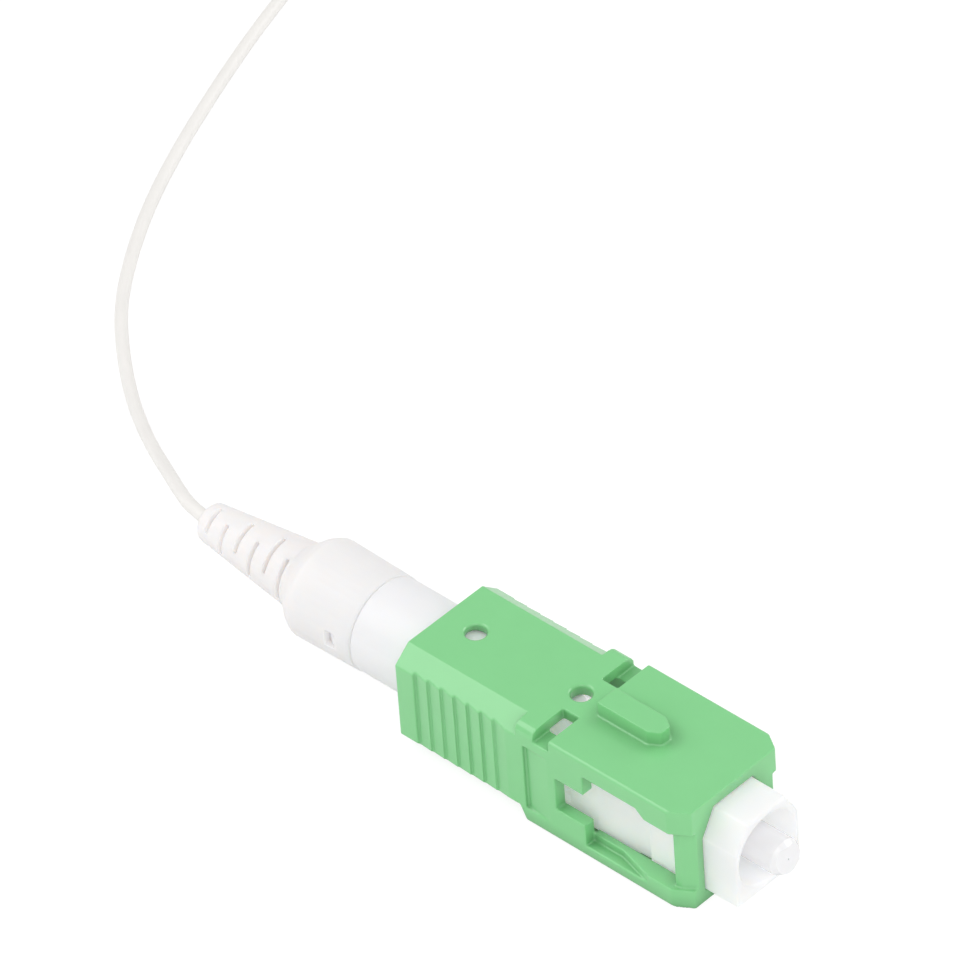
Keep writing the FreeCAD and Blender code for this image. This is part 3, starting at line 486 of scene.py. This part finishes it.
class CONNECTOR_OT_frame(bpy.types.Operator):
    """Rounds the edges of the plug frame and the rear body and gives them white plastic"""
    bl_idname = "connector.frame"
    bl_label = "Plug frame and rear body"

    def execute(self, context):
        finish = context.scene.connector_finish
        edges = context.scene.connector_edges
        # Both whites get a painted glow in their hollows, the frame's the stronger.
        frame_white = moulded(
            "white plastic", finish.frame, roughness=0.34, grain_size=0.15 * MM,
            grain_depth=0.002 * MM, variation=0.008, scatter=1.0, scatter_depth=0.9 * MM,
            milky=0.24)
        body_white = moulded(
            "rear body plastic", finish.body, roughness=0.4, grain_size=0.15 * MM,
            grain_depth=0.002 * MM, variation=0.008, scatter=0.5, scatter_depth=0.5 * MM,
            milky=0.1)
        for node, name, white in (
                ("plug_frame", "frame_moulding", frame_white),
                ("rear_body", "rear_moulding", body_white)):
            piece = softened_copy(node, name, edges.frame, edges.soft_passes, SOFT_SHARE)
            paint(piece, white)
            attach(piece, "connector_core")
            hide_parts(node)
        return {"FINISHED"}


class CONNECTOR_OT_boot(bpy.types.Operator):
    """Rounds the boot's edges and gives it its ivory elastomer"""
    bl_idname = "connector.boot"
    bl_label = "Boot"

    def execute(self, context):
        finish = context.scene.connector_finish
        edges = context.scene.connector_edges
        boot = softened_copy(
            "boot", "strain_relief_boot", edges.boot, edges.soft_passes, SOFT_SHARE)
        # The ivory gets a faint painted glow in its hollows.
        paint(boot, moulded(
            "ivory elastomer", finish.boot, roughness=0.5, grain_size=0.2 * MM,
            grain_depth=0.004 * MM, variation=0.01, scatter=1.0, scatter_depth=0.9 * MM,
            milky=0.07))
        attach(boot, "connector_core")
        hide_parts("boot")
        return {"FINISHED"}


class CONNECTOR_OT_inner_parts(bpy.types.Operator):
    """Gives the ferrule and the parts inside their finishes"""
    bl_idname = "connector.inner_parts"
    bl_label = "Ferrule and inner parts"

    def execute(self, context):
        finish = context.scene.connector_finish
        finishes = {
            "ferrule": moulded(
                "zirconia", finish.ceramic, roughness=0.12, grain_size=0.05 * MM,
                grain_depth=0.0005 * MM, variation=0.008, scatter=0.2),
            "ferrule_flange": metal(
                "nickel-plated brass", (0.72, 0.7, 0.64), roughness=0.3, line_size=0.04 * MM),
            "bare_fibre": moulded(
                "silica", (0.55, 0.6, 0.65), roughness=0.1, grain_size=0.02 * MM,
                grain_depth=0.0002 * MM),
            "ferrule_spring": metal(
                "spring wire", (0.62, 0.62, 0.64), roughness=0.28, line_size=0.03 * MM),
            "guide_tube": moulded(
                "milky tube", (0.82, 0.82, 0.8), roughness=0.3, grain_size=0.1 * MM,
                grain_depth=0.002 * MM),
            "crimp_ring": metal(
                "drawn aluminium", (0.78, 0.78, 0.78), roughness=0.35, line_size=0.05 * MM),
            "inner_buffer": moulded(
                "inner jacket", finish.lead, roughness=0.42, grain_size=0.25 * MM,
                grain_depth=0.004 * MM),
        }
        for node, material in finishes.items():
            paint(frame["nodes"][node], material)
        # The spring and the fibre's jacket, which give way when the ferrule is pushed back, get
        # meshes of their own.
        for node in ("ferrule_spring", "inner_buffer"):
            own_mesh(frame["nodes"][node])
        return {"FINISHED"}


class CONNECTOR_OT_studio(bpy.types.Operator):
    """Sets the camera, the lamps, the surround and the white floor"""
    bl_idname = "connector.studio"
    bl_label = "Studio"

    def execute(self, context):
        studio = context.scene.connector_studio
        self.make_camera(context, studio)
        self.make_surround(context, studio)
        self.make_floor()
        for name, direction, size, brightness in LAMPS:
            self.make_lamp(context, name, direction, size, brightness * studio.lamps)
        context.scene.view_settings.view_transform = "Standard"
        return {"FINISHED"}

    def make_camera(self, context, studio):
        camera = bpy.data.objects.new("camera", bpy.data.cameras.new("camera"))
        context.scene.collection.objects.link(camera)
        turn = (
            Matrix.Rotation(studio.azimuth, 4, "Z")
            @ Matrix.Rotation(math.pi / 2 - studio.elevation, 4, "X")
            @ Matrix.Rotation(-studio.roll, 4, "Z"))
        camera.matrix_world = (
            Matrix.Translation(Vector(studio.target)) @ turn
            @ Matrix.Translation((0, 0, studio.distance)))
        camera.data.lens = studio.lens
        camera.data.clip_start, camera.data.clip_end = 0.01, 10
        context.scene.camera = camera

    def make_surround(self, context, studio):
        """Even light from all round, which the camera sees as white, also through clear parts."""
        world = bpy.data.worlds.new("surround")
        world.use_nodes = True
        context.scene.world = world
        tree = world.node_tree
        background = tree.nodes["Background"]
        background.inputs["Color"].default_value = (1, 1, 1, 1)
        rays = tree.nodes.new("ShaderNodeLightPath")
        seen = tree.nodes.new("ShaderNodeMath")
        seen.operation = "MAXIMUM"
        tree.links.new(rays.outputs["Is Camera Ray"], seen.inputs[0])
        tree.links.new(rays.outputs["Is Transmission Ray"], seen.inputs[1])
        level = tree.nodes.new("ShaderNodeMapRange")
        level.inputs["To Min"].default_value = studio.surround
        level.inputs["To Max"].default_value = 1.0
        tree.links.new(seen.outputs["Value"], level.inputs["Value"])
        tree.links.new(level.outputs["Result"], background.inputs["Strength"])

    def make_floor(self):
        """A white floor that keeps a faint shadow of the object."""
        bm = bmesh.new()
        bmesh.ops.create_grid(bm, x_segments=1, y_segments=1, size=FLOOR_SIZE)
        mesh = bpy.data.meshes.new("floor")
        bm.to_mesh(mesh)
        bm.free()
        floor = shown_object("floor", mesh)
        floor.location.z = -FLOOR_DROP
        material = bpy.data.materials.new("white floor")
        material.use_nodes = True
        tree = material.node_tree
        tree.nodes.clear()
        rays = tree.nodes.new("ShaderNodeLightPath")
        lit = tree.nodes.new("ShaderNodeBsdfDiffuse")
        lit.inputs["Color"].default_value = (FLOOR_BOUNCE, FLOOR_BOUNCE, FLOOR_BOUNCE, 1)
        faint = tree.nodes.new("ShaderNodeBsdfDiffuse")
        faint.inputs["Color"].default_value = (FLOOR_SHADE, FLOOR_SHADE, FLOOR_SHADE, 1)
        glow = tree.nodes.new("ShaderNodeEmission")
        glow.inputs["Strength"].default_value = FLOOR_GLOW
        shown = tree.nodes.new("ShaderNodeAddShader")
        tree.links.new(faint.outputs[0], shown.inputs[0])
        tree.links.new(glow.outputs[0], shown.inputs[1])
        seen = tree.nodes.new("ShaderNodeMath")
        seen.operation = "MAXIMUM"
        tree.links.new(rays.outputs["Is Camera Ray"], seen.inputs[0])
        tree.links.new(rays.outputs["Is Transmission Ray"], seen.inputs[1])
        choice = tree.nodes.new("ShaderNodeMixShader")
        tree.links.new(seen.outputs["Value"], choice.inputs["Fac"])
        tree.links.new(lit.outputs[0], choice.inputs[1])
        tree.links.new(shown.outputs[0], choice.inputs[2])
        output = tree.nodes.new("ShaderNodeOutputMaterial")
        tree.links.new(choice.outputs[0], output.inputs["Surface"])
        paint(floor, material)

    def make_lamp(self, context, name, direction, size, brightness):
        """A square softbox that faces the connector from a direction."""
        light = bpy.data.lights.new(name, "AREA")
        light.shape = "SQUARE"
        light.size = size
        light.energy = brightness * math.pi * size ** 2
        lamp = bpy.data.objects.new(name, light)
        context.scene.collection.objects.link(lamp)
        away = Vector(direction).normalized()
        lamp.location = away * LAMP_DISTANCE
        lamp.rotation_euler = away.to_track_quat("Z", "Y").to_euler()


class CONNECTOR_PT_panel(bpy.types.Panel):
    """Lists the steps that dress the connector"""
    bl_idname = "CONNECTOR_PT_panel"
    bl_label = "SC fibre connector"
    bl_space_type = "VIEW_3D"
    bl_region_type = "UI"
    bl_category = "Connector"

    def draw(self, context):
        for operator in OPERATORS:
            self.layout.operator(operator.bl_idname)
        for settings in SETTINGS:
            group = getattr(context.scene, settings)
            box = self.layout.box()
            for name in group.bl_rna.properties.keys():
                if name not in ("rna_type", "name"):
                    box.prop(group, name)


SETTINGS = {
    "connector_finish": FinishSettings,
    "connector_lead": LeadSettings,
    "connector_edges": EdgeSettings,
    "connector_studio": StudioSettings,
}
OPERATORS = (
    CONNECTOR_OT_studio,
    CONNECTOR_OT_lead,
    CONNECTOR_OT_housing,
    CONNECTOR_OT_frame,
    CONNECTOR_OT_boot,
    CONNECTOR_OT_inner_parts,
)


def register():
    for group in (*SETTINGS.values(), *OPERATORS, CONNECTOR_PT_panel):
        bpy.utils.register_class(group)
    for name, group in SETTINGS.items():
        setattr(bpy.types.Scene, name, PointerProperty(type=group))


def unregister():
    for name in SETTINGS:
        delattr(bpy.types.Scene, name)
    for group in reversed((*SETTINGS.values(), *OPERATORS, CONNECTOR_PT_panel)):
        bpy.utils.unregister_class(group)


def main():
    register()
    bpy.ops.connector.studio()
    bpy.ops.connector.lead()
    bpy.ops.connector.housing()
    bpy.ops.connector.frame()
    bpy.ops.connector.boot()
    bpy.ops.connector.inner_parts()
    bpy.context.view_layer.update()


if __name__ == "__main__":
    main()
